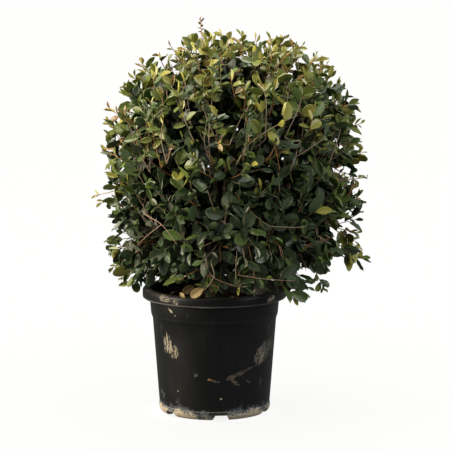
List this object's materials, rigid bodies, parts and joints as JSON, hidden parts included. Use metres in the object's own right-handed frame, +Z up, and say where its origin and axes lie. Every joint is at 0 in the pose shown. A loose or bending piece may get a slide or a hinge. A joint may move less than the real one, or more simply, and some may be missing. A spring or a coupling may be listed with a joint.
{
  "type": "ball-clipped evergreen shrub in a nursery pot",
  "caption": "Evergreen shrub clipped to a leafy ball on a short hidden stem, growing in a round tapered black plastic nursery pot of compost.",
  "frame": {"origin": "middle of the circle of feet that the pot stands on, at ground level, on the pot's own axis", "axes": "+Z up along the pot's axis, -Y towards the front of the picture, +X to the right as seen from the front"},
  "size_m": [0.6577, 0.6256, 0.9335],
  "materials": {
    "pot_plastic": "satin, dusty",
    "compost": "rough, damp",
    "bark": "rough bark",
    "foliage": "semi-gloss leaves"
  },
  "bodies": {
    "root": {"pot": "pot_plastic", "compost": "compost", "trunk": "bark", "bough_upper_1": "bark", "bough_upper_2": "bark", "bough_upper_3": "bark", "bough_upper_4": "bark", "bough_upper_5": "bark", "bough_lower_1": "bark", "bough_lower_2": "bark", "bough_lower_3": "bark", "bough_lower_4": "bark", "bough_lower_5": "bark", "foliage_top": "foliage", "foliage_upper_1": "foliage", "foliage_upper_2": "foliage", "foliage_upper_3": "foliage", "foliage_upper_4": "foliage", "foliage_upper_5": "foliage", "foliage_lower_1": "foliage", "foliage_lower_2": "foliage", "foliage_lower_3": "foliage", "foliage_lower_4": "foliage", "foliage_lower_5": "foliage"}
  },
  "joints": []
}
